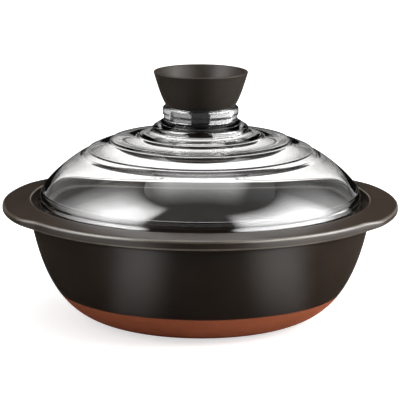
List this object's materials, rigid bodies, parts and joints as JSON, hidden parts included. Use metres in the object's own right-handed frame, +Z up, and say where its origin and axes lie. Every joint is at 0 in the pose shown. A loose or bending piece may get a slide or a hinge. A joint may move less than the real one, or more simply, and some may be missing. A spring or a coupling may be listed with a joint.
{
  "type": "donabe clay pot",
  "caption": "Round clay pot with a wide rim and two broad ears, a stepped glass dome lid in a sunk seat, and a funnel-shaped knob clamped through the neck of the lid.",
  "frame": {"origin": "centre of the flat base of the pot, on the surface it stands on", "axes": "+Z up along the axis of the pot and the lid, +X through the middle of one ear"},
  "size_m": [0.3, 0.2908, 0.1889],
  "materials": {
    "pot_body": "black-brown glaze above bare clay",
    "glass_lid": "clear",
    "knob_cup": "matt",
    "neck_bush": "matt",
    "upper_gasket": "matt",
    "lower_gasket": "matt",
    "clamp_disc": "matt",
    "vent_bolt": "turned",
    "nut_washer": "turned",
    "vent_nut": "turned"
  },
  "bodies": {
    "pot": {"pot_body": "pot_body"},
    "lid": {"glass_lid": "glass_lid", "knob_cup": "knob_cup", "neck_bush": "neck_bush", "upper_gasket": "upper_gasket", "lower_gasket": "lower_gasket", "clamp_disc": "clamp_disc", "vent_bolt": "vent_bolt", "nut_washer": "nut_washer", "vent_nut": "vent_nut"}
  },
  "joints": [
    {"name": "lid_lift", "type": "slide", "parent": "pot", "child": "lid", "axis": [0, 0, 1], "range_m": [0, 0.12]}
  ]
}
